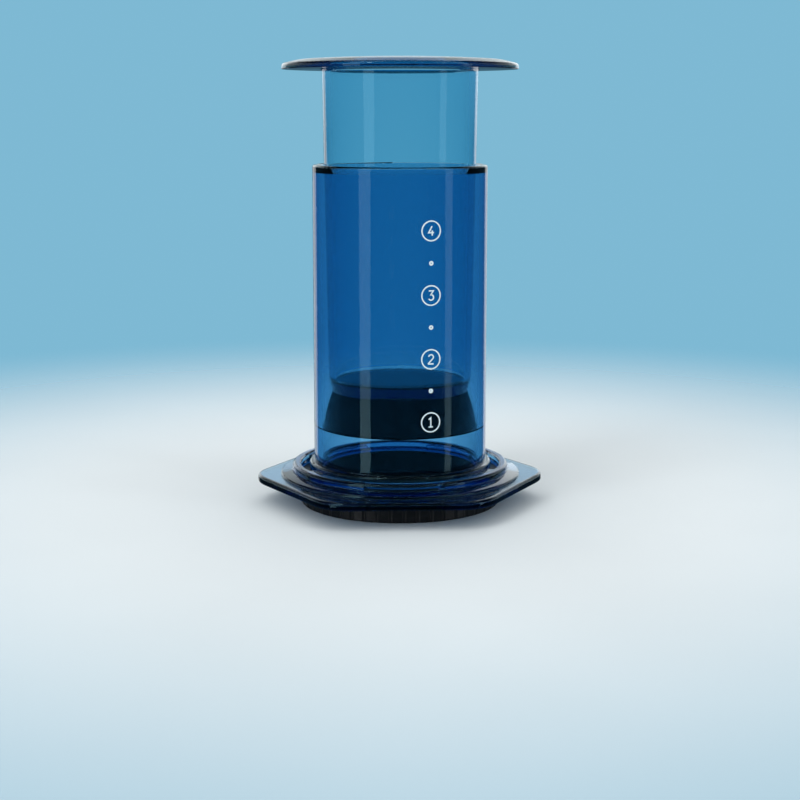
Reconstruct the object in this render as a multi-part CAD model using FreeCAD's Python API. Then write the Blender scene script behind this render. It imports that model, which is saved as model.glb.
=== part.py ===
import FreeCAD, Part
import math
import os

# Manual coffee press: a clear brewing chamber on a six-sided plate, a clear hollow plunger with
# a rubber seal, and a black perforated filter cap that turns into a bayonet under the plate.
# Millimetres. +Z is up, the front is -Y, and the origin is the middle of the cap's resting face.

# Chamber tube
BORE_DIAMETER = 60.0
CHAMBER_WALL = 3.0
RIM_ABOVE_PLATE = 121.7
LEAD_IN_HEIGHT = 2.9
LEAD_IN_DEPTH = 1.2
RIM_ROUNDING = 0.8
RIM_INNER_ROUNDING = 0.4
TAIL_BELOW_PLATE = 3.4
TUBE_FOOT_ROUNDING = 0.4

# Six-sided plate
PLATE_ACROSS_FLATS = 99.6
PLATE_CORNER_RADIUS = 17.0
PLATE_THICKNESS = 3.2
PLATE_EDGE_ROUNDING = 1.3

# Crown, the stepped ring round the foot of the tube that holds the bayonet
COLLAR_PROUD = 1.9
COLLAR_TOP = 8.8
COLLAR_ROUNDING = 1.1
COLLAR_ROOT_FILLET = 0.3
CROWN_WALL = 3.3
CROWN_TOP = 7.8
CROWN_LIP_RISE = 0.85
CROWN_LIP_ROUNDING = 1.25
CROWN_ROOT_FILLET = 0.4
CROWN_LEAD_IN = 0.8
SHOULDER_WIDTH = 4.6
SHOULDER_RISE = 1.8
SHOULDER_EDGE_RISE = 1.0
SHOULDER_ROUNDING = 1.0

# Bayonet
LUG_COUNT = 4
LUG_REACH = 2.5
LUG_RECESS = 0.5
CHAMBER_LUG_ANGLE = 44.0
CHAMBER_LUG_THICKNESS = 1.8
CAP_LUG_THICKNESS = 1.6
LUG_CLEARANCE = 0.15
STOP_RIB_ANGLE = 2.8
STOP_PLAY_ANGLE = 0.6

# Filter cap
FOOT_HEIGHT = 1.6
FOOT_INSET = 0.5
FOOT_ROUNDING = 0.4
FLOOR_THICKNESS = 2.2
FLOOR_UNDER_FILLET = 0.5
CUP_WALL = 1.8
CUP_FILLET = 0.8
CUP_RIM_RISE = 0.5
CUP_RIM_ROUNDING = 0.5
GRIP_PROUD = 3.3
GRIP_EDGE_ROUNDING = 0.6
FLUTE_COUNT = 48
FLUTE_RADIUS = 1.1
FLUTE_DEPTH = 0.45
HOLE_DIAMETER = 1.9
HOLE_RING_PITCH = 5.3
HOLE_RINGS = 5

# Paper filter, 63.5 mm across in this cup
PAPER_EDGE_GAP = 1.55
PAPER_THICKNESS = 0.2

# Plunger
PLUNGER_HEIGHT_IN_CHAMBER = 22.1
PLUNGER_LENGTH = 134.9
PLUNGER_CLEARANCE = 0.8
PLUNGER_TAPER = 1.85
PLUNGER_WALL_AT_TOP = 2.95
PLUNGER_WALL_AT_FOOT = 2.4
PLUNGER_FLOOR_THICKNESS = 4.3
PLUNGER_FLOOR_FILLET = 1.4
SHOULDER_ABOVE_SEAL = 5.5
SHOULDER_NARROWING = 1.5
PLUNGER_SHOULDER_ROUNDING = 1.0
SEAL_SEAT_ROUNDING = 0.3

# Plunger flange
FLANGE_DIAMETER = 88.6
FLANGE_THICKNESS = 4.2
FLANGE_EDGE_THICKNESS = 2.0
FLANGE_DOME_START = 6.0
FLANGE_DOME_HEIGHT = 3.5
FLANGE_DOME_ROUNDING = 20.0
FLANGE_TOP_EDGE_ROUNDING = 1.4
FLANGE_UNDER_EDGE_ROUNDING = 0.3
FLANGE_ROOT_FILLET = 0.9
MOUTH_ROUNDING = 1.3

# Seal and the mushroom head that it snaps over
SEAL_HEIGHT = 13.9
SEAL_LIP_HEIGHT = 1.1
SEAL_LIP_PROUD = 0.55
SEAL_LIP_ROUNDING = 0.3
SEAL_FOOT_ROUNDING = 0.5
SEAL_TOP_ROUNDING = 0.3
SEAL_SWELL = 0.45
SEAL_SWELL_ROUNDING = 45.0
SEAL_ROOF = 4.0
NECK_RADIUS = 21.6
HEAD_REACH = 2.4
HEAD_THICKNESS = 3.2
HEAD_ROUNDING = 0.6

# Fits
TURNING_GAP = 0.3
PLATE_GAP = 0.4
PAPER_GAP = 0.1
SEAL_SLIDING_GAP = 0.08
SNAP_GAP = 0.1

# A rounding takes at most this share of the wall that it is on, and cutting tools reach past
# what they cut by the overshoot.
ROUNDING_SHARE = 0.45
TOOL_OVERSHOOT = 1.0

# Radii that follow from the bore outwards
bore_radius = BORE_DIAMETER / 2
tube_radius = bore_radius + CHAMBER_WALL
collar_radius = tube_radius + COLLAR_PROUD
cup_inner_radius = tube_radius + TURNING_GAP
cup_radius = cup_inner_radius + CUP_WALL
chamber_lug_radius = cup_radius + TURNING_GAP
cap_lug_radius = chamber_lug_radius + LUG_REACH
crown_bore_radius = cap_lug_radius + TURNING_GAP
crown_radius = crown_bore_radius + CROWN_WALL
grip_radius = cup_radius + GRIP_PROUD
foot_inner_radius = cup_inner_radius - FOOT_INSET
paper_radius = cup_inner_radius - PAPER_EDGE_GAP
seal_radius = bore_radius - SEAL_SLIDING_GAP
plunger_top_radius = bore_radius - PLUNGER_CLEARANCE
plunger_foot_radius = plunger_top_radius - PLUNGER_TAPER
seal_top_radius = plunger_foot_radius - SHOULDER_NARROWING
head_radius = NECK_RADIUS + HEAD_REACH

# The locked cap's lug is centred over the chamber's and ends the stop play short of the rib
cap_lug_angle = CHAMBER_LUG_ANGLE - STOP_RIB_ANGLE - 2 * STOP_PLAY_ANGLE

# Heights that follow from the resting face upwards
floor_top = FOOT_HEIGHT + FLOOR_THICKNESS
paper_top = floor_top + PAPER_THICKNESS
tube_end = paper_top + PAPER_GAP
plate_under = tube_end + TAIL_BELOW_PLATE
plate_top = plate_under + PLATE_THICKNESS
rim_top = plate_under + RIM_ABOVE_PLATE
grip_top = plate_under - PLATE_GAP
chamber_lug_under = plate_under + LUG_RECESS
chamber_lug_top = chamber_lug_under + CHAMBER_LUG_THICKNESS
cap_lug_under = chamber_lug_top + LUG_CLEARANCE
cap_lug_top = cap_lug_under + CAP_LUG_THICKNESS
cup_top = cap_lug_top + CUP_RIM_RISE
land_under = cup_top + TURNING_GAP
collar_top = plate_under + COLLAR_TOP
crown_top = plate_under + CROWN_TOP
land_top = crown_top - CROWN_LIP_RISE
shoulder_top = plate_top + SHOULDER_RISE
shoulder_edge = plate_top + SHOULDER_EDGE_RISE
seal_foot = plate_under + PLUNGER_HEIGHT_IN_CHAMBER
seal_top = seal_foot + SEAL_HEIGHT
flange_under = seal_foot + PLUNGER_LENGTH
flange_top = flange_under + FLANGE_THICKNESS
head_under = seal_top - SEAL_ROOF - HEAD_THICKNESS
head_top = seal_top - SEAL_ROOF
plunger_shoulder = seal_top + SHOULDER_ABOVE_SEAL
plunger_floor = seal_top + PLUNGER_FLOOR_THICKNESS


def point(radius, height):
    return FreeCAD.Vector(radius, 0, height)


def limited(rounding, wall):
    return min(rounding, ROUNDING_SHARE * wall)


def outline(corners):
    """Closed face in the XZ plane through (radius, height, rounding) corners, with tangent arcs."""
    edges = []
    starts = []
    ends = []
    arcs = []
    count = len(corners)
    for index, (radius, height, rounding) in enumerate(corners):
        here = point(radius, height)
        if rounding == 0:
            starts.append(here)
            ends.append(here)
            arcs.append(None)
            continue
        before = point(*corners[index - 1][:2]) - here
        after = point(*corners[(index + 1) % count][:2]) - here
        half_angle = before.getAngle(after) / 2
        before.normalize()
        after.normalize()
        run = rounding / math.tan(half_angle)
        middle_way = before + after
        middle_way.normalize()
        nearest = rounding / math.sin(half_angle) - rounding
        starts.append(here + before * run)
        ends.append(here + after * run)
        arcs.append(here + middle_way * nearest)
    for index in range(count):
        if arcs[index] is not None:
            edges.append(Part.Arc(starts[index], arcs[index], ends[index]).toShape())
        following = starts[(index + 1) % count]
        if ends[index].distanceToPoint(following) > 1e-6:
            edges.append(Part.LineSegment(ends[index], following).toShape())
    return Part.Face(Part.Wire(edges))


def turned(corners, angle=360.0, middle=0.0):
    """Solid of revolution about Z. A part turn is centred on the direction middle, in degrees."""
    section = outline(corners)
    section.rotate(FreeCAD.Vector(), FreeCAD.Vector(0, 0, 1), middle - angle / 2)
    return section.revolve(FreeCAD.Vector(), FreeCAD.Vector(0, 0, 1), angle)


def ring_block(inner, outer, low, high, angle=360.0, middle=0.0):
    corners = [(inner, low, 0), (outer, low, 0), (outer, high, 0), (inner, high, 0)]
    return turned(corners, angle, middle)


def directions(count):
    return [360.0 / count * index for index in range(count)]


def hexagon_plate():
    """Plate with rounded corners to the left and right, flats to the front and back."""
    corner_distance = PLATE_ACROSS_FLATS / math.sqrt(3)
    corners = []
    for angle in directions(6):
        turn = math.radians(angle)
        corners.append(FreeCAD.Vector(corner_distance * math.cos(turn),
                                      corner_distance * math.sin(turn), plate_under))
    outer = Part.makePolygon(corners + corners[:1])
    plate = Part.Face(outer).extrude(FreeCAD.Vector(0, 0, PLATE_THICKNESS))
    upright = [edge for edge in plate.Edges if abs(edge.BoundBox.ZLength - PLATE_THICKNESS) < 1e-6]
    plate = plate.makeFillet(PLATE_CORNER_RADIUS, upright)
    rims = [edge for edge in plate.Edges if edge.BoundBox.ZLength < 1e-6]
    return plate.makeFillet(limited(PLATE_EDGE_ROUNDING, PLATE_THICKNESS), rims)


def chamber_barrel():
    """Tube, collar, land and crown as one turned shape, with the lugs still a whole ring."""
    base_radius = crown_radius + SHOULDER_WIDTH
    lip_rounding = limited(CROWN_LIP_ROUNDING, min(CROWN_WALL, crown_top - shoulder_top))
    rim_wall = CHAMBER_WALL - LEAD_IN_DEPTH
    return turned([
        (bore_radius, tube_end, 0),
        (tube_radius, tube_end, TUBE_FOOT_ROUNDING),
        (tube_radius, land_under, 0),
        (chamber_lug_radius, land_under, 0),
        (chamber_lug_radius, chamber_lug_under, 0),
        (crown_bore_radius, chamber_lug_under, 0),
        (crown_bore_radius + CROWN_LEAD_IN, plate_under, 0),
        (base_radius, plate_under, 0),
        (base_radius, shoulder_edge, SHOULDER_ROUNDING),
        (crown_radius, shoulder_top, CROWN_ROOT_FILLET),
        (crown_radius, crown_top, lip_rounding),
        (crown_bore_radius, crown_top, min(lip_rounding, CROWN_LIP_RISE)),
        (crown_bore_radius, land_top, 0),
        (collar_radius, land_top, 0),
        (collar_radius, collar_top, COLLAR_ROUNDING),
        (tube_radius, collar_top, COLLAR_ROOT_FILLET),
        (tube_radius, rim_top, limited(RIM_ROUNDING, rim_wall)),
        (bore_radius + LEAD_IN_DEPTH, rim_top, limited(RIM_INNER_ROUNDING, rim_wall)),
        (bore_radius, rim_top - LEAD_IN_HEIGHT, 0),
    ])


def bayonet_cuts():
    """Slots through the land over the lugs, pockets above the lugs and ways in between them.

    Between a pocket and the next way in stands a rib, which stops the cap's lug. Half of it is
    under the slot and half under the land.
    """
    cuts = []
    half_rib = STOP_RIB_ANGLE / 2
    pocket_angle = CHAMBER_LUG_ANGLE - half_rib
    way_angle = 360.0 / LUG_COUNT - CHAMBER_LUG_ANGLE - half_rib
    inside = chamber_lug_radius - TURNING_GAP / 2
    for middle in directions(LUG_COUNT):
        cuts.append(ring_block(collar_radius, crown_bore_radius, land_under, crown_top + TOOL_OVERSHOOT,
                               CHAMBER_LUG_ANGLE, middle))
        cuts.append(ring_block(inside, crown_bore_radius, chamber_lug_top, land_under,
                               pocket_angle, middle - half_rib / 2))
        cuts.append(ring_block(inside, crown_bore_radius, plate_under - TOOL_OVERSHOOT, land_under,
                               way_angle, middle + 180.0 / LUG_COUNT + half_rib / 2))
    return cuts


def chamber():
    mouth = ring_block(0, crown_radius, plate_under - TOOL_OVERSHOOT, plate_top + TOOL_OVERSHOOT)
    body = chamber_barrel().fuse(hexagon_plate().cut(mouth))
    body = body.removeSplitter()
    for cut in bayonet_cuts():
        body = body.cut(cut)
    return body


def plunger():
    """Hollow tapered tube, open at the top, with a domed flange and a mushroom head below."""
    flange_radius = FLANGE_DIAMETER / 2
    mouth_radius = plunger_top_radius - PLUNGER_WALL_AT_TOP
    well_radius = plunger_foot_radius - PLUNGER_WALL_AT_FOOT
    return turned([
        (0, head_under, 0),
        (head_radius, head_under, HEAD_ROUNDING),
        (head_radius, head_top, 0),
        (NECK_RADIUS, head_top, 0),
        (NECK_RADIUS, seal_top, 0),
        (seal_top_radius, seal_top, SEAL_SEAT_ROUNDING),
        (plunger_foot_radius, plunger_shoulder, PLUNGER_SHOULDER_ROUNDING),
        (plunger_top_radius, flange_under, FLANGE_ROOT_FILLET),
        (flange_radius, flange_under, FLANGE_UNDER_EDGE_ROUNDING),
        (flange_radius, flange_under + FLANGE_EDGE_THICKNESS, FLANGE_TOP_EDGE_ROUNDING),
        (flange_radius - FLANGE_DOME_START, flange_under + FLANGE_DOME_HEIGHT,
         FLANGE_DOME_ROUNDING),
        (mouth_radius, flange_top, MOUTH_ROUNDING),
        (well_radius, plunger_floor, PLUNGER_FLOOR_FILLET),
        (0, plunger_floor, 0),
    ])


def plunger_seal():
    """Rubber cup with swelling sides and a thin lip at its foot, hollow for the plunger's head."""
    lip_top = seal_foot + SEAL_LIP_HEIGHT
    body_radius = seal_radius - SEAL_LIP_PROUD
    swell_radius = (body_radius + seal_top_radius) / 2 + SEAL_SWELL
    hollow_radius = head_radius + SNAP_GAP
    neck_hole_radius = NECK_RADIUS + SNAP_GAP
    return turned([
        (0, seal_foot, 0),
        (seal_radius, seal_foot, SEAL_FOOT_ROUNDING),
        (seal_radius, lip_top, SEAL_LIP_ROUNDING),
        (body_radius, lip_top, SEAL_LIP_ROUNDING),
        (swell_radius, (lip_top + seal_top) / 2, SEAL_SWELL_ROUNDING),
        (seal_top_radius, seal_top, SEAL_TOP_ROUNDING),
        (neck_hole_radius, seal_top, 0),
        (neck_hole_radius, head_top, 0),
        (hollow_radius, head_top, 0),
        (hollow_radius, head_under - SNAP_GAP, 0),
        (0, head_under - SNAP_GAP, 0),
    ])


def filter_holes():
    """Round holes through the cap's floor: one in the middle and rings of six more each time."""
    tool_radius = HOLE_DIAMETER / 2
    depth = FLOOR_THICKNESS + 2 * TOOL_OVERSHOOT
    start = FOOT_HEIGHT - TOOL_OVERSHOOT
    holes = [Part.makeCylinder(tool_radius, depth, FreeCAD.Vector(0, 0, start))]
    for ring in range(1, HOLE_RINGS + 1):
        for angle in directions(6 * ring):
            turn = math.radians(angle)
            place = FreeCAD.Vector(HOLE_RING_PITCH * ring * math.cos(turn),
                                   HOLE_RING_PITCH * ring * math.sin(turn), start)
            holes.append(Part.makeCylinder(tool_radius, depth, place))
    return holes


def grip_flutes():
    """Shallow upright grooves round the cap's grip ring."""
    flutes = []
    distance = grip_radius + FLUTE_RADIUS - FLUTE_DEPTH
    for angle in directions(FLUTE_COUNT):
        turn = math.radians(angle)
        place = FreeCAD.Vector(distance * math.cos(turn), distance * math.sin(turn),
                               -TOOL_OVERSHOOT)
        flutes.append(Part.makeCylinder(FLUTE_RADIUS, grip_top + 2 * TOOL_OVERSHOOT, place))
    return flutes


def filter_cap():
    """Black cup with a perforated floor, a grooved grip ring and four bayonet lugs."""
    rim_rounding = limited(CUP_RIM_ROUNDING, CUP_WALL)
    grip_rounding = limited(GRIP_EDGE_ROUNDING, GRIP_PROUD)
    body = turned([
        (0, FOOT_HEIGHT, 0),
        (foot_inner_radius, FOOT_HEIGHT, FLOOR_UNDER_FILLET),
        (foot_inner_radius, 0, FOOT_ROUNDING),
        (grip_radius, 0, grip_rounding),
        (grip_radius, grip_top, grip_rounding),
        (cup_radius, grip_top, 0),
        (cup_radius, cup_top, rim_rounding),
        (cup_inner_radius, cup_top, rim_rounding),
        (cup_inner_radius, floor_top, CUP_FILLET),
        (0, floor_top, 0),
    ])
    lug_root_radius = cup_radius - CUP_WALL / 2
    lugs = []
    for middle in directions(LUG_COUNT):
        lugs.append(ring_block(lug_root_radius, cap_lug_radius, cap_lug_under, cap_lug_top,
                               cap_lug_angle, middle))
    body = body.fuse(lugs)
    body = body.cut(grip_flutes())
    body = body.cut(filter_holes())
    return body.removeSplitter()


def paper_filter():
    return Part.makeCylinder(paper_radius, PAPER_THICKNESS, FreeCAD.Vector(0, 0, floor_top))


def main():
    pieces = {
        "chamber": chamber(),
        "plunger": plunger(),
        "plunger_seal": plunger_seal(),
        "filter_cap": filter_cap(),
        "paper_filter": paper_filter(),
    }
    os.makedirs("parts", exist_ok=True)
    for name, shape in pieces.items():
        if len(shape.Solids) == 1:
            shape = shape.Solids[0]
        box = shape.BoundBox
        print(name, shape.ShapeType, "valid", shape.isValid(), "volume", round(shape.Volume, 1),
              "low", round(box.ZMin, 3), "high", round(box.ZMax, 3))
        shape.exportStep("parts/" + name + ".step")


main()
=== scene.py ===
import math

import bmesh
import bpy
from mathutils import Matrix, Vector

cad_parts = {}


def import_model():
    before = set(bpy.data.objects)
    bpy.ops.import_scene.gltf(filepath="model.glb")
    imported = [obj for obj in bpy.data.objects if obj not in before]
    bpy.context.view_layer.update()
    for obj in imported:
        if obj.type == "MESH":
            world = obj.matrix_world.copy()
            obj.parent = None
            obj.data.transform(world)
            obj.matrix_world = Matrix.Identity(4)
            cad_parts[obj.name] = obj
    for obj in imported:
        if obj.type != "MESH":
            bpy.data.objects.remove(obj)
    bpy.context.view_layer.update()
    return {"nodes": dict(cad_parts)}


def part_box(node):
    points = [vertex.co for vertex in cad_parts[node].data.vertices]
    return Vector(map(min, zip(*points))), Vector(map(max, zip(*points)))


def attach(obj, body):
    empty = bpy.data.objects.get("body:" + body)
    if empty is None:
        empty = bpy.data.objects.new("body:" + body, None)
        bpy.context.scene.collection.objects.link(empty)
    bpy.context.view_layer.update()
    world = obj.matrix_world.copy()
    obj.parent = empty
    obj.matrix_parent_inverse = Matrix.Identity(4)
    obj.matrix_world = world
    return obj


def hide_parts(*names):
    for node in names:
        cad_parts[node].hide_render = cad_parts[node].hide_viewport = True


# Manual coffee press: clear blue chamber and plunger, black rubber seal, black filter cap,
# stained paper disc and a printed scale. Metres. +Z is up and the front is -Y.

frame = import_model()

MM = 0.001

# Camera, as the photograph was taken: a little left of the front, eye just under the flange
CAMERA_DISTANCE = 606 * MM
CAMERA_TURN = math.radians(2.4)
CAMERA_HEIGHT = 150.9 * MM
CAMERA_PITCH = math.radians(8.75)
CAMERA_SHIFT = -0.06
CAMERA_NEAREST = 10 * MM
LENS_IN_MM = 71.9
SENSOR_IN_MM = 36.0

# Clear blue plastic: the chamber is tinted more deeply than the plunger. The reflection's tint
# counts where the surface faces the eye, and fades towards the edges.
CLEAR = (1.0, 1.0, 1.0, 1.0)
PLASTIC_IOR = 1.56
PLASTIC_REFLECTION = (0.2, 0.38, 0.44, 1.0)
CHAMBER_TINT_DENSITY = 420.0
CHAMBER_TINT = (0.03, 0.57, 0.81, 1.0)
PLUNGER_TINT_DENSITY = 230.0
PLUNGER_TINT = (0.035, 0.63, 0.795, 1.0)

# Tube and plunger, where the seal and the printed scale meet them
BORE_RADIUS = 30.0 * MM
TUBE_WALL = 3.0 * MM
TUBE_RADIUS = BORE_RADIUS + TUBE_WALL
PLUNGER_FOOT_RADIUS = 27.35 * MM
SHOULDER_NARROWING = 1.5 * MM
NECK_RADIUS = 21.6 * MM
HEAD_REACH = 2.4 * MM
HEAD_RADIUS = NECK_RADIUS + HEAD_REACH
HEAD_THICKNESS = 3.2 * MM
HEAD_GAP = 0.1 * MM

# Rubber seal. Its roof and lip press a hair into the clear plastic, so no air shows between.
SEAL_CONTACT = 0.02 * MM
SEAL_LIP_CONTACT = 0.01 * MM
SEAL_LIP_HEIGHT = 0.8 * MM
SEAL_LIP_PROUD = 0.63 * MM
SEAL_BODY_RADIUS = BORE_RADIUS - SEAL_LIP_PROUD
SEAL_TOP_RADIUS = PLUNGER_FOOT_RADIUS - SHOULDER_NARROWING
SEAL_SWELL = 0.45 * MM
SEAL_SWELL_ROUNDING = 45.0 * MM
SEAL_EDGE_ROUNDING = 0.3 * MM
SEAL_ROOF = 4.0 * MM

# Fineness of the meshes
LATHE_STEPS = 288
ARC_STEPS = 8
CIRCLE_STEPS = 64
BOWL_STEPS = 14
FLOOR_STEPS = 96
SHARP_CORNER = math.radians(35)

# Surroundings and lamps
BACKDROP_COLOR = (0.21, 0.485, 0.655, 1.0)
PALE_WALL_COLOR = (0.85, 0.96, 1.0, 1.0)
OVERHEAD_COLOR = (0.04, 0.07, 0.09, 1.0)
ROOM_SHADE = (0.02, 0.05, 0.08, 1.0)
NEUTRAL = (1.0, 1.0, 1.0, 1.0)
SKY_LIGHT = 0.55
LAMP_AIM = Vector((0, 0, 90 * MM))

# What shows through clear plastic, and what a gloss throws back, from below upwards:
# (sine of the elevation, colour)
SEEN_THROUGH = (
    (0.1, BACKDROP_COLOR),
    (0.5, OVERHEAD_COLOR),
)
SEEN_IN_GLOSS = (
    (-0.03, ROOM_SHADE),
    (0.02, BACKDROP_COLOR),
    (0.12, PALE_WALL_COLOR),
    (0.3, PALE_WALL_COLOR),
    (0.6, OVERHEAD_COLOR),
)

# Bounces of light through clear plastic and off a gloss
CLEAR_BOUNCES = 32
GLOSS_BOUNCES = 12

# Floor
FLOOR_COLOR_A = (0.76, 0.83, 0.86, 1.0)
FLOOR_COLOR_B = (0.79, 0.86, 0.89, 1.0)
FLOOR_RADIUS = 2000 * MM
FLOOR_FADE_START = 100 * MM
FLOOR_FADE_END = 450 * MM

# Printed scale on the chamber: a turn round from the front, and numbers at an even pitch
INK_BELOW = 0.05 * MM
INK_PROUD = 0.05 * MM
FRONT = math.radians(-90)
SCALE_DIRECTION = FRONT + math.radians(17.6)
SCALE_FOOT = 36.3 * MM
SCALE_PITCH = 23.4 * MM
RING_RADIUS = 3.8 * MM
RING_STROKE = 0.5 * MM
DOT_RADIUS = 0.85 * MM
DOT_HOLE_RADIUS = 0.2 * MM
DIGIT_HEIGHT = 3.9 * MM
DIGIT_STROKE = 0.5 * MM
MITRE_LIMIT = 2.0


def new_material(name):
    """A material with its node tree and its main shader."""
    material = bpy.data.materials.new(name)
    material.use_nodes = True
    tree = material.node_tree
    shader = tree.nodes["Principled BSDF"]
    return material, tree, shader


def add(tree, kind, **values):
    """New node, with values for its inputs or its own settings."""
    node = tree.nodes.new(kind)
    for key, value in values.items():
        if key in node.inputs:
            node.inputs[key].default_value = value
        else:
            setattr(node, key, value)
    return node


def noise(tree, per_metre, detail, stretch=(1, 1, 1)):
    """Noise fixed to the piece, drawn out along an axis where its stretch is below 1."""
    place = add(tree, "ShaderNodeTexCoord")
    mapping = add(tree, "ShaderNodeMapping")
    mapping.inputs["Scale"].default_value = stretch
    texture = add(tree, "ShaderNodeTexNoise", Scale=per_metre, Detail=detail)
    tree.links.new(place.outputs["Object"], mapping.inputs["Vector"])
    tree.links.new(mapping.outputs["Vector"], texture.inputs["Vector"])
    return texture.outputs["Fac"]


def spread(tree, value, low, high, start=0.35, end=0.65):
    """A value spread from low to high as it goes from start to end, where most noise lies."""
    node = add(tree, "ShaderNodeMapRange")
    node.inputs["From Min"].default_value = start
    node.inputs["From Max"].default_value = end
    node.inputs["To Min"].default_value = low
    node.inputs["To Max"].default_value = high
    tree.links.new(value, node.inputs["Value"])
    return node.outputs["Result"]


def combine(tree, operation, first, second):
    """Two values joined by a sum, a product or the like."""
    node = add(tree, "ShaderNodeMath", operation=operation)
    tree.links.new(first, node.inputs[0])
    tree.links.new(second, node.inputs[1])
    return node.outputs["Value"]


def blend_colors(tree, amount, color_a, color_b):
    """Colour from the first to the second as the amount goes from 0 to 1."""
    node = add(tree, "ShaderNodeMix", data_type="RGBA")
    node.inputs["A"].default_value = color_a
    node.inputs["B"].default_value = color_b
    tree.links.new(amount, node.inputs["Factor"])
    return node.outputs["Result"]


def bump(tree, shader, height, strength, distance):
    """Fine relief from a height value."""
    node = add(tree, "ShaderNodeBump", Strength=strength, Distance=distance)
    tree.links.new(height, node.inputs["Height"])
    tree.links.new(node.outputs["Normal"], shader.inputs["Normal"])


def clear_blue(name, tint_color, tint_density):
    """Glass-clear moulded plastic, tinted right through, with draw lines and fine wear.

    Haze is a slow change in gloss. Rub marks are thin upright streaks where the plunger slides,
    and they come and go in patches. Draw lines are shallow upright waves left by the mould.
    """
    material, tree, shader = new_material(name)
    shader.inputs["Base Color"].default_value = CLEAR
    shader.inputs["Transmission Weight"].default_value = 1.0
    shader.inputs["IOR"].default_value = PLASTIC_IOR
    shader.inputs["Specular Tint"].default_value = PLASTIC_REFLECTION
    haze = spread(tree, noise(tree, per_metre=70, detail=3), low=0.0, high=0.02)
    streaks = noise(tree, per_metre=1400, detail=2, stretch=(1, 1, 0.02))
    streaks = spread(tree, streaks, low=0.0, high=0.05, start=0.66, end=0.76)
    patches = noise(tree, per_metre=45, detail=2)
    patches = spread(tree, patches, low=0.0, high=1.0, start=0.5, end=0.62)
    rubbed = combine(tree, "MULTIPLY", streaks, patches)
    tree.links.new(combine(tree, "ADD", haze, rubbed), shader.inputs["Roughness"])
    draw_lines = noise(tree, per_metre=150, detail=2, stretch=(1, 1, 0.03))
    bump(tree, shader, draw_lines, strength=0.01, distance=0.2 * MM)
    tint = add(tree, "ShaderNodeVolumeAbsorption", Color=tint_color, Density=tint_density)
    tree.links.new(tint.outputs["Volume"], tree.nodes["Material Output"].inputs["Volume"])
    return material


def rubber():
    """Black rubber with a fine bloom and faint rings from the mould."""
    black = (0.003, 0.004, 0.005, 1)
    bloomed = (0.008, 0.009, 0.010, 1)
    material, tree, shader = new_material("seal_rubber_black")
    bloom = spread(tree, noise(tree, per_metre=140, detail=4), low=0.0, high=1.0)
    tree.links.new(blend_colors(tree, bloom, black, bloomed), shader.inputs["Base Color"])
    shader.inputs["Specular IOR Level"].default_value = 0.12
    gloss = spread(tree, noise(tree, per_metre=300, detail=3), low=0.5, high=0.64)
    tree.links.new(gloss, shader.inputs["Roughness"])
    rings = noise(tree, per_metre=900, detail=2, stretch=(0.02, 0.02, 1))
    grain = noise(tree, per_metre=2600, detail=3)
    relief = combine(tree, "ADD", rings, grain)
    bump(tree, shader, relief, strength=0.08, distance=0.05 * MM)
    return material


def cap_plastic():
    """Satin black moulded plastic with a spark-eroded grain and paler scuffs."""
    black = (0.006, 0.006, 0.007, 1)
    scuffed = (0.014, 0.014, 0.015, 1)
    material, tree, shader = new_material("cap_satin_black")
    scuffs = noise(tree, per_metre=260, detail=6)
    scuffs = spread(tree, scuffs, low=0.0, high=1.0, start=0.55, end=0.7)
    tree.links.new(blend_colors(tree, scuffs, black, scuffed), shader.inputs["Base Color"])
    shader.inputs["Specular IOR Level"].default_value = 0.25
    gloss = spread(tree, noise(tree, per_metre=400, detail=3), low=0.34, high=0.46)
    tree.links.new(gloss, shader.inputs["Roughness"])
    grain = noise(tree, per_metre=3500, detail=2)
    bump(tree, shader, grain, strength=0.12, distance=0.04 * MM)
    return material


def stained_paper():
    """Filter paper soaked with coffee, blotched, with its fibres standing a little."""
    dark_brown = (0.030, 0.014, 0.007, 1)
    pale_brown = (0.110, 0.060, 0.032, 1)
    material, tree, shader = new_material("paper_stained")
    shader.inputs["Roughness"].default_value = 0.9
    stain = noise(tree, per_metre=120, detail=6)
    stain = spread(tree, stain, low=0.0, high=1.0, start=0.3, end=0.7)
    tree.links.new(blend_colors(tree, stain, dark_brown, pale_brown), shader.inputs["Base Color"])
    fibres = noise(tree, per_metre=1800, detail=5)
    bump(tree, shader, fibres, strength=0.4, distance=0.05 * MM)
    return material


def white_ink():
    """White printing ink, a little thin in places."""
    thin_white = (0.68, 0.82, 0.88, 1)
    full_white = (0.78, 0.90, 0.94, 1)
    material, tree, shader = new_material("scale_ink_white")
    cover = spread(tree, noise(tree, per_metre=900, detail=3), low=0.0, high=1.0)
    tree.links.new(blend_colors(tree, cover, thin_white, full_white), shader.inputs["Base Color"])
    gloss = spread(tree, noise(tree, per_metre=1500, detail=2), low=0.4, high=0.55)
    tree.links.new(gloss, shader.inputs["Roughness"])
    return material


def dress_nodes():
    """Gives every CAD node that shows its material."""
    nodes = frame["nodes"]
    finishes = {
        "chamber": clear_blue("chamber_clear_blue", CHAMBER_TINT, CHAMBER_TINT_DENSITY),
        "plunger": clear_blue("plunger_clear_blue", PLUNGER_TINT, PLUNGER_TINT_DENSITY),
        "filter_cap": cap_plastic(),
        "paper_filter": stained_paper(),
    }
    for name, material in finishes.items():
        for slot in nodes[name].material_slots:
            slot.material = material


def new_piece(name, mesh, material):
    """Object from a bmesh, smooth except at its sharp corners."""
    data = bpy.data.meshes.new(name)
    mesh.to_mesh(data)
    mesh.free()
    data.materials.append(material)
    for face in data.polygons:
        face.use_smooth = True
    data.set_sharp_from_angle(angle=SHARP_CORNER)
    piece = bpy.data.objects.new(name, data)
    bpy.context.scene.collection.objects.link(piece)
    return piece


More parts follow.
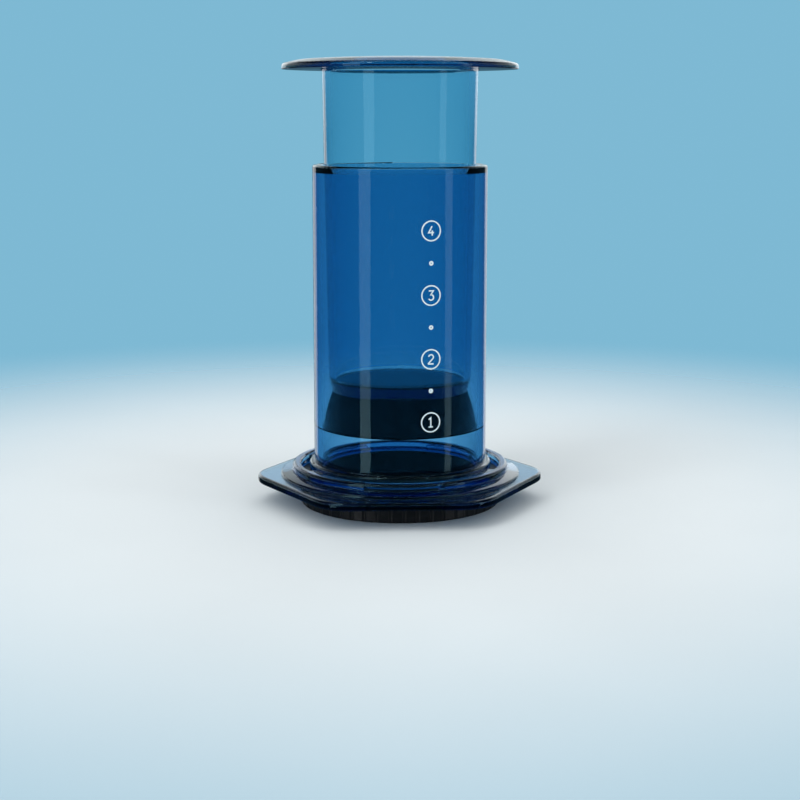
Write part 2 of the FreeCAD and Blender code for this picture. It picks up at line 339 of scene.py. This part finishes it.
def rounded(corners):
    """Points (radius, height) along an outline of (radius, height, rounding) corners."""
    points = []
    count = len(corners)
    for index, (radius, height, rounding) in enumerate(corners):
        here = Vector((radius, height))
        if rounding == 0:
            points.append(here)
            continue
        before = (Vector(corners[index - 1][:2]) - here).normalized()
        after = (Vector(corners[(index + 1) % count][:2]) - here).normalized()
        half_angle = before.angle(after) / 2
        middle = here + (before + after).normalized() * rounding / math.sin(half_angle)
        start = (here + before * rounding / math.tan(half_angle) - middle).normalized()
        end = (here + after * rounding / math.tan(half_angle) - middle).normalized()
        for step in range(ARC_STEPS + 1):
            points.append(middle + start.slerp(end, step / ARC_STEPS) * rounding)
    return points


def lathe(points):
    """Closed surface of revolution about Z, from points that start and end on the axis."""
    mesh = bmesh.new()
    poles = [mesh.verts.new((0, 0, points[0].y)), mesh.verts.new((0, 0, points[-1].y))]
    rings = []
    for radius, height in points[1:-1]:
        ring = []
        for step in range(LATHE_STEPS):
            turn = 2 * math.pi * step / LATHE_STEPS
            ring.append(mesh.verts.new((radius * math.cos(turn), radius * math.sin(turn), height)))
        rings.append(ring)
    for step in range(LATHE_STEPS):
        after = (step + 1) % LATHE_STEPS
        mesh.faces.new((poles[0], rings[0][after], rings[0][step]))
        mesh.faces.new((poles[1], rings[-1][step], rings[-1][after]))
        for inner, outer in zip(rings, rings[1:]):
            mesh.faces.new((inner[step], inner[after], outer[after], outer[step]))
    bmesh.ops.recalc_face_normals(mesh, faces=mesh.faces)
    return mesh


def rubber_seal():
    """Seal with swelling sides and a thin lip against the bore, hollow for the plunger's head."""
    low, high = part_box("plunger_seal")
    foot = low.z
    top = high.z
    lip_top = foot + SEAL_LIP_HEIGHT
    lip_radius = BORE_RADIUS + SEAL_LIP_CONTACT
    swell_radius = (SEAL_BODY_RADIUS + SEAL_TOP_RADIUS) / 2 + SEAL_SWELL
    head_top = top - SEAL_ROOF - SEAL_CONTACT
    head_under = top - SEAL_ROOF - HEAD_THICKNESS + SEAL_CONTACT
    outline = rounded([
        (0, foot, 0),
        (lip_radius, foot, SEAL_EDGE_ROUNDING),
        (lip_radius, lip_top, SEAL_EDGE_ROUNDING),
        (SEAL_BODY_RADIUS, lip_top, SEAL_EDGE_ROUNDING / 2),
        (swell_radius, (lip_top + top) / 2, SEAL_SWELL_ROUNDING),
        (SEAL_TOP_RADIUS, top + SEAL_CONTACT, SEAL_EDGE_ROUNDING),
        (NECK_RADIUS + HEAD_GAP, top + SEAL_CONTACT, 0),
        (NECK_RADIUS + HEAD_GAP, head_top, 0),
        (HEAD_RADIUS + HEAD_GAP, head_top, 0),
        (HEAD_RADIUS + HEAD_GAP, head_under, 0),
        (0, head_under, 0),
    ])
    piece = new_piece("rubber_seal", lathe(outline), rubber())
    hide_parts("plunger_seal")
    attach(piece, "plunger_unit")


def onto_tube(flat, height):
    """Point on the tube for a flat (sideways, up, outwards) point of a mark at that height."""
    turn = SCALE_DIRECTION + flat.x / TUBE_RADIUS
    reach = TUBE_RADIUS + flat.z
    return Vector((reach * math.cos(turn), reach * math.sin(turn), height + flat.y))


def circle(radius):
    """Points once round a circle."""
    points = []
    for step in range(CIRCLE_STEPS):
        turn = 2 * math.pi * step / CIRCLE_STEPS
        points.append(Vector((radius * math.cos(turn), radius * math.sin(turn), 0)))
    return points


def band(mesh, left, right, closed):
    """Strip of faces between two rows of points."""
    row_a = [mesh.verts.new(point) for point in left]
    row_b = [mesh.verts.new(point) for point in right]
    count = len(row_a)
    for step in range(count if closed else count - 1):
        after = (step + 1) % count
        mesh.faces.new((row_a[step], row_a[after], row_b[after], row_b[step]))


def flat_ring(outer, inner):
    """Flat ring between two radii."""
    mesh = bmesh.new()
    band(mesh, circle(inner), circle(outer), closed=True)
    return mesh


def arc(middle, radius, start, end):
    """Points along an arc, with its angles in degrees."""
    points = []
    for step in range(BOWL_STEPS + 1):
        turn = math.radians(start + (end - start) * step / BOWL_STEPS)
        points.append((middle[0] + radius * math.cos(turn), middle[1] + radius * math.sin(turn)))
    return points


def digit_strokes(digit):
    """Pen strokes of one plain digit, 2 high and up to 1.2 wide about its middle."""
    if digit == 1:
        return [[(-0.5, 0.62), (0.0, 1.0), (0.0, -1.0)], [(-0.5, -1.0), (0.5, -1.0)]]
    if digit == 2:
        bowl = arc((0.0, 0.45), 0.55, 165, -25)
        return [bowl + [(-0.58, -0.88), (-0.55, -1.0), (0.6, -1.0)]]
    if digit == 3:
        bowl = arc((-0.03, -0.42), 0.58, 95, -150)
        return [[(-0.52, 1.0), (0.5, 1.0), (-0.08, 0.16)] + bowl]
    return [[(0.15, 1.0), (-0.6, -0.38), (0.62, -0.38)], [(0.2, 0.1), (0.2, -1.0)]]


def flat_stroke(points):
    """Pen line of even width through points given in half digit heights."""
    unit = (DIGIT_HEIGHT - DIGIT_STROKE) / 2
    line = [Vector((x, y, 0)) * unit for x, y in points]
    left = []
    right = []
    for index, here in enumerate(line):
        ways = []
        if index > 0:
            ways.append((here - line[index - 1]).normalized())
        if index < len(line) - 1:
            ways.append((line[index + 1] - here).normalized())
        along = sum(ways, Vector()).normalized()
        side = Vector((-along.y, along.x, 0))
        square_on = side.dot(Vector((-ways[0].y, ways[0].x, 0)))
        reach = DIGIT_STROKE / 2 / max(square_on, 1 / MITRE_LIMIT)
        left.append(here + side * reach)
        right.append(here - side * reach)
    mesh = bmesh.new()
    band(mesh, left, right, closed=False)
    return mesh


def print_mark(name, mesh, height, ink):
    """Turns a flat mark into a thin closed layer of ink that follows the tube, and adds it."""
    grown = bmesh.ops.extrude_face_region(mesh, geom=list(mesh.faces))
    top = {vert for vert in grown["geom"] if isinstance(vert, bmesh.types.BMVert)}
    for vert in mesh.verts:
        vert.co.z = INK_PROUD if vert in top else -INK_BELOW
        vert.co = onto_tube(vert.co, height)
    bmesh.ops.recalc_face_normals(mesh, faces=mesh.faces)
    piece = new_piece(name, mesh, ink)
    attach(piece, "brew_chamber")


def printed_scale():
    """Numbers 1 to 4 in rings up the chamber, with a dot half way between each pair."""
    ink = white_ink()
    for digit in (1, 2, 3, 4):
        height = SCALE_FOOT + SCALE_PITCH * (digit - 1)
        ring = flat_ring(RING_RADIUS, RING_RADIUS - RING_STROKE)
        print_mark("scale_ring_%d" % digit, ring, height, ink)
        for stroke, points in enumerate(digit_strokes(digit), start=1):
            print_mark("scale_digit_%d_stroke_%d" % (digit, stroke), flat_stroke(points), height, ink)
    for gap in (1, 2, 3):
        height = SCALE_FOOT + SCALE_PITCH * (gap - 1 / 2)
        print_mark("scale_dot_%d" % gap, flat_ring(DOT_RADIUS, DOT_HOLE_RADIUS), height, ink)


def mirror_ray(tree, path):
    """1 for a ray that a gloss throws back, 0 for one through clear plastic, which is glossy too."""
    return combine(tree, "SUBTRACT", path.outputs["Is Glossy Ray"],
                   path.outputs["Is Transmission Ray"])


def floor_finish():
    """Matt pale finish that fades out into the backdrop all round. A gloss doesn't reflect it."""
    material, tree, shader = new_material("floor_pale")
    shader.inputs["Roughness"].default_value = 0.9
    shader.inputs["Specular IOR Level"].default_value = 0.1
    tone = spread(tree, noise(tree, per_metre=6, detail=3), low=0.0, high=1.0)
    color = blend_colors(tree, tone, FLOOR_COLOR_A, FLOOR_COLOR_B)
    tree.links.new(color, shader.inputs["Base Color"])
    place = add(tree, "ShaderNodeTexCoord")
    reach = add(tree, "ShaderNodeVectorMath", operation="LENGTH")
    tree.links.new(place.outputs["Object"], reach.inputs[0])
    fade = add(tree, "ShaderNodeMapRange", interpolation_type="SMOOTHSTEP")
    fade.inputs["From Min"].default_value = FLOOR_FADE_START
    fade.inputs["From Max"].default_value = FLOOR_FADE_END
    tree.links.new(reach.outputs["Value"], fade.inputs["Value"])
    path = add(tree, "ShaderNodeLightPath")
    unseen = combine(tree, "MAXIMUM", fade.outputs["Result"], mirror_ray(tree, path))
    clear = add(tree, "ShaderNodeBsdfTransparent")
    mix = add(tree, "ShaderNodeMixShader")
    tree.links.new(unseen, mix.inputs["Fac"])
    tree.links.new(shader.outputs["BSDF"], mix.inputs[1])
    tree.links.new(clear.outputs["BSDF"], mix.inputs[2])
    tree.links.new(mix.outputs["Shader"], tree.nodes["Material Output"].inputs["Surface"])
    return material


def floor():
    """Round floor under the press, which catches its shadow."""
    mesh = bmesh.new()
    bmesh.ops.create_circle(mesh, cap_ends=True, segments=FLOOR_STEPS, radius=FLOOR_RADIUS)
    new_piece("floor", mesh, floor_finish())


def sky(tree, height, bands):
    """Colours up the sky, from bands of (sine of the elevation, colour)."""
    node = add(tree, "ShaderNodeValToRGB")
    ramp = node.color_ramp
    while len(ramp.elements) < len(bands):
        ramp.elements.new(1)
    for element, (sine, color) in zip(ramp.elements, bands):
        element.position = (sine + 1) / 2
        element.color = color
    whole_sky = spread(tree, height, low=0.0, high=1.0, start=-1.0, end=1.0)
    tree.links.new(whole_sky, node.inputs["Fac"])
    return node.outputs["Color"]


def world():
    """Even neutral light from all round, in front of a pale blue backdrop.

    The camera sees the plain backdrop. Through clear plastic it darkens overhead, as a room does.
    A gloss shows a shaded room below the horizon, a pale wall above it and a dim ceiling.
    """
    surroundings = bpy.data.worlds.new("studio")
    surroundings.use_nodes = True
    tree = surroundings.node_tree
    direction = add(tree, "ShaderNodeTexCoord")
    split = add(tree, "ShaderNodeSeparateXYZ")
    tree.links.new(direction.outputs["Generated"], split.inputs["Vector"])
    height = split.outputs["Z"]
    path = add(tree, "ShaderNodeLightPath")
    scenery = add(tree, "ShaderNodeMix", data_type="RGBA")
    tree.links.new(mirror_ray(tree, path), scenery.inputs["Factor"])
    tree.links.new(sky(tree, height, SEEN_THROUGH), scenery.inputs["A"])
    tree.links.new(sky(tree, height, SEEN_IN_GLOSS), scenery.inputs["B"])
    view = add(tree, "ShaderNodeMix", data_type="RGBA")
    view.inputs["B"].default_value = BACKDROP_COLOR
    tree.links.new(path.outputs["Is Camera Ray"], view.inputs["Factor"])
    tree.links.new(scenery.outputs["Result"], view.inputs["A"])
    backdrop = tree.nodes["Background"]
    tree.links.new(view.outputs["Result"], backdrop.inputs["Color"])
    sharp = combine(tree, "MAXIMUM", path.outputs["Is Camera Ray"], path.outputs["Is Glossy Ray"])
    seen = combine(tree, "MAXIMUM", sharp, path.outputs["Is Transmission Ray"])
    lighting = add(tree, "ShaderNodeBackground", Color=NEUTRAL, Strength=SKY_LIGHT)
    mix = add(tree, "ShaderNodeMixShader")
    tree.links.new(seen, mix.inputs["Fac"])
    tree.links.new(lighting.outputs["Background"], mix.inputs[1])
    tree.links.new(backdrop.outputs["Background"], mix.inputs[2])
    tree.links.new(mix.outputs["Shader"], tree.nodes["World Output"].inputs["Surface"])
    bpy.context.scene.world = surroundings


def softbox(name, place, size, power):
    """Soft lamp turned to about the middle of the press. The lamp itself shows only in gloss."""
    light = bpy.data.lights.new(name, "AREA")
    light.shape = "RECTANGLE"
    light.size, light.size_y = size
    light.energy = power
    lamp = bpy.data.objects.new(name, light)
    lamp.location = place
    direction = LAMP_AIM - Vector(place)
    lamp.rotation_euler = direction.to_track_quat("-Z", "Y").to_euler()
    lamp.visible_camera = False
    lamp.visible_transmission = False
    bpy.context.scene.collection.objects.link(lamp)


def lights():
    """Two tall lamps at the front, thin strips beside them, one above and two behind for the edges."""
    softbox("key", place=(-0.85, -0.75, 0.6), size=(0.4, 2.6), power=8)
    softbox("fill", place=(1.0, -0.5, 0.5), size=(0.25, 2.6), power=3.4)
    softbox("overhead", place=(0, 0.15, 1.5), size=(1.3, 1.3), power=4)
    softbox("strip_left", place=(-0.62, -0.95, 0.95), size=(0.05, 1.0), power=1.2)
    softbox("strip_right", place=(0.75, -0.85, 0.95), size=(0.05, 1.0), power=1.0)
    for name, side in (("edge_left", -1), ("edge_right", 1)):
        softbox(name, place=(side * 0.48, 1.13, 0.5), size=(0.55, 1.8), power=2.6)


def camera():
    """Camera at the photograph's viewing angle."""
    lens = bpy.data.cameras.new("camera")
    lens.lens = LENS_IN_MM
    lens.sensor_width = SENSOR_IN_MM
    lens.shift_y = CAMERA_SHIFT
    lens.clip_start = CAMERA_NEAREST
    piece = bpy.data.objects.new("camera", lens)
    across = -CAMERA_DISTANCE * math.sin(CAMERA_TURN)
    away = -CAMERA_DISTANCE * math.cos(CAMERA_TURN)
    facing = Matrix.Rotation(-CAMERA_TURN, 4, "Z")
    tilt = Matrix.Rotation(math.pi / 2 - CAMERA_PITCH, 4, "X")
    piece.matrix_world = Matrix.Translation((across, away, CAMERA_HEIGHT)) @ facing @ tilt
    bpy.context.scene.collection.objects.link(piece)
    bpy.context.scene.camera = piece


def light_paths():
    """Enough bounces to see through eight clear surfaces and round the crown."""
    cycles = bpy.context.scene.cycles
    cycles.max_bounces = CLEAR_BOUNCES
    cycles.transmission_bounces = CLEAR_BOUNCES
    cycles.glossy_bounces = GLOSS_BOUNCES


dress_nodes()
rubber_seal()
printed_scale()
floor()
world()
lights()
camera()
light_paths()
bpy.context.scene.view_settings.view_transform = "Standard"
